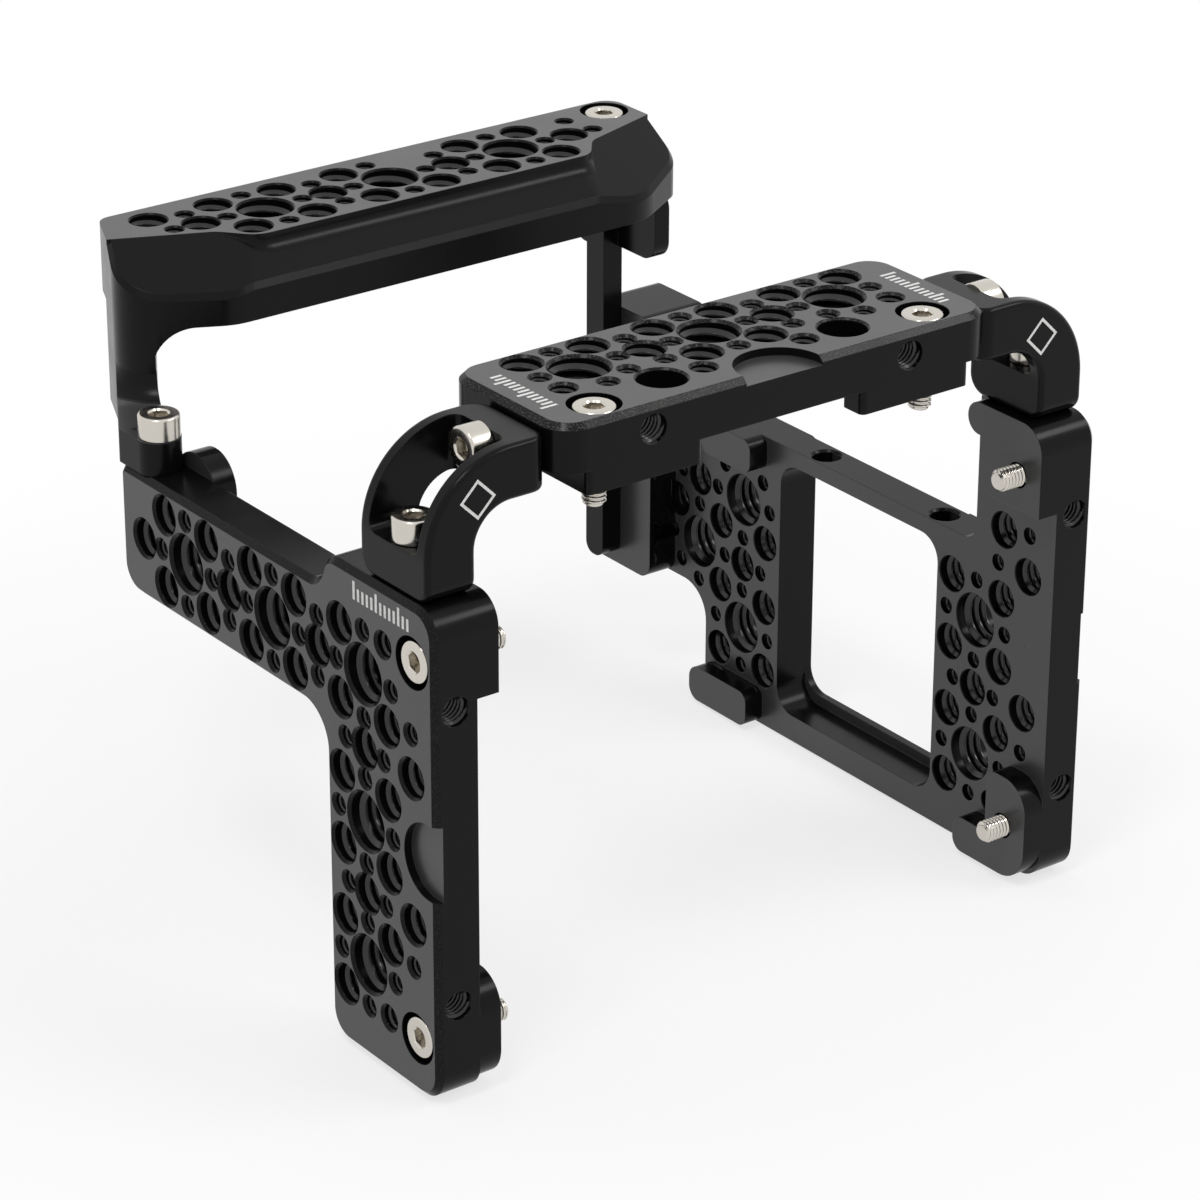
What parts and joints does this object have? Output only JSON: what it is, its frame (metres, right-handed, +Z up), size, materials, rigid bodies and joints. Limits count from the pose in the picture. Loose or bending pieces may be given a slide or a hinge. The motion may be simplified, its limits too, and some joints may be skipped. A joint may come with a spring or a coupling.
{
  "type": "camera cage",
  "caption": "Open camera cage of drilled and tapped plates: two sides, a bracketed top plate and a rear bar, with captive screws that hold the camera.",
  "frame": {"origin": "middle of the width and of the depth, on the plane the side plates stand on", "axes": "+X to the right across the cage, +Y to the rear, away from the lens, +Z up"},
  "size_m": [0.133, 0.1196, 0.1088],
  "materials": {
    "anodised_aluminium": "satin black anodised, finely milled",
    "stainless_steel": "turned stainless steel, lightly polished"
  },
  "bodies": {
    "cage": {"left_bracket_lower_screw": "stainless_steel", "left_bracket_upper_screw": "stainless_steel", "left_corner_bracket": "anodised_aluminium", "left_side_plate": "anodised_aluminium", "rear_arm_pin": "stainless_steel", "rear_arm_screw": "stainless_steel", "rear_bar": "anodised_aluminium", "rear_post_lower_screw": "stainless_steel", "rear_post_top_screw": "stainless_steel", "rear_post_upper_screw": "stainless_steel", "rear_right_post": "anodised_aluminium", "right_bracket_lower_screw": "stainless_steel", "right_bracket_upper_screw": "stainless_steel", "right_corner_bracket": "anodised_aluminium", "right_side_plate": "anodised_aluminium", "top_plate": "anodised_aluminium"},
    "left_lower_camera": {"left_lower_camera_screw": "stainless_steel"},
    "left_upper_camera": {"left_upper_camera_screw": "stainless_steel"},
    "right_lower_camera": {"right_lower_camera_screw": "stainless_steel"},
    "right_upper_camera": {"right_upper_camera_screw": "stainless_steel"},
    "top_left_camera": {"top_left_camera_screw": "stainless_steel"},
    "top_right_camera": {"top_right_camera_screw": "stainless_steel"}
  },
  "joints": [
    {"name": "left_lower_camera_screw_slide", "type": "slide", "parent": "cage", "child": "left_lower_camera", "axis": [-1, 0, 0], "range_m": [0, 0.005]},
    {"name": "left_upper_camera_screw_slide", "type": "slide", "parent": "cage", "child": "left_upper_camera", "axis": [-1, 0, 0], "range_m": [0, 0.005]},
    {"name": "right_lower_camera_screw_slide", "type": "slide", "parent": "cage", "child": "right_lower_camera", "axis": [1, 0, 0], "range_m": [0, 0.005]},
    {"name": "right_upper_camera_screw_slide", "type": "slide", "parent": "cage", "child": "right_upper_camera", "axis": [1, 0, 0], "range_m": [0, 0.005]},
    {"name": "top_left_camera_screw_slide", "type": "slide", "parent": "cage", "child": "top_left_camera", "axis": [0, 0, 1], "range_m": [0, 0.005]},
    {"name": "top_right_camera_screw_slide", "type": "slide", "parent": "cage", "child": "top_right_camera", "axis": [0, 0, 1], "range_m": [0, 0.005]}
  ]
}
